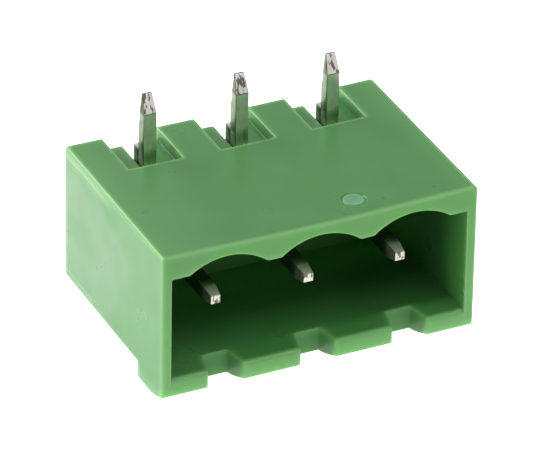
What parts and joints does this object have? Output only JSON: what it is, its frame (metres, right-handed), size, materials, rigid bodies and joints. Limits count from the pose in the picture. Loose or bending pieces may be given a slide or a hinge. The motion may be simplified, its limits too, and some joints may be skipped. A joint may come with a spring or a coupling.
{
  "type": "pluggable terminal block header",
  "caption": "Right-angle board header of a pluggable terminal block: green shroud with an open mouth, scalloped roof, coding slots, latch nose and bent tinned contact pins.",
  "frame": {"origin": "centre of the bounding box's bottom face, under the latch nose side of the shroud", "axes": "+X along the row of contacts, -Y out of the mouth, +Z towards the circuit board, where the solder legs point"},
  "size_m": [0.0172, 0.012, 0.0119],
  "materials": {
    "green_plastic": "satin moulded polyamide, pale green",
    "tinned_contact": "bright tin plating on a stamped copper alloy strip"
  },
  "bodies": {
    "root": {"housing": "green_plastic", "contact_pin_left": "tinned_contact", "contact_pin_middle": "tinned_contact", "contact_pin_right": "tinned_contact"}
  },
  "joints": []
}
